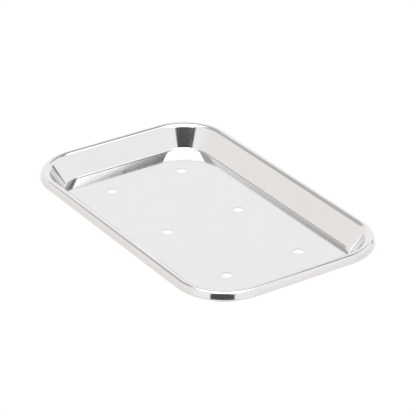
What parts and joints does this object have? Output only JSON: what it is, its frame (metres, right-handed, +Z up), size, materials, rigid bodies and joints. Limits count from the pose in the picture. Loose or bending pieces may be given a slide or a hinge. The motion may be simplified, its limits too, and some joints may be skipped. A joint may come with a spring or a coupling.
{
  "type": "perforated shallow tray",
  "caption": "Shallow rectangular stainless-steel tray with sloping walls, drain holes in its floor and a turned-down rim, for sorting and holding small items.",
  "frame": {"origin": "on the plane that the tray stands on, under the middle of its floor", "axes": "+Z up out of the open top; X along the long side, Y along the short side"},
  "size_m": [0.2, 0.1254, 0.0133],
  "materials": {
    "polished_stainless": "bright polished stainless-steel sheet",
    "drawn_wire": "plain drawn steel wire"
  },
  "bodies": {
    "root": {"tray_pan": "polished_stainless", "rim_wire": "drawn_wire"}
  },
  "joints": []
}
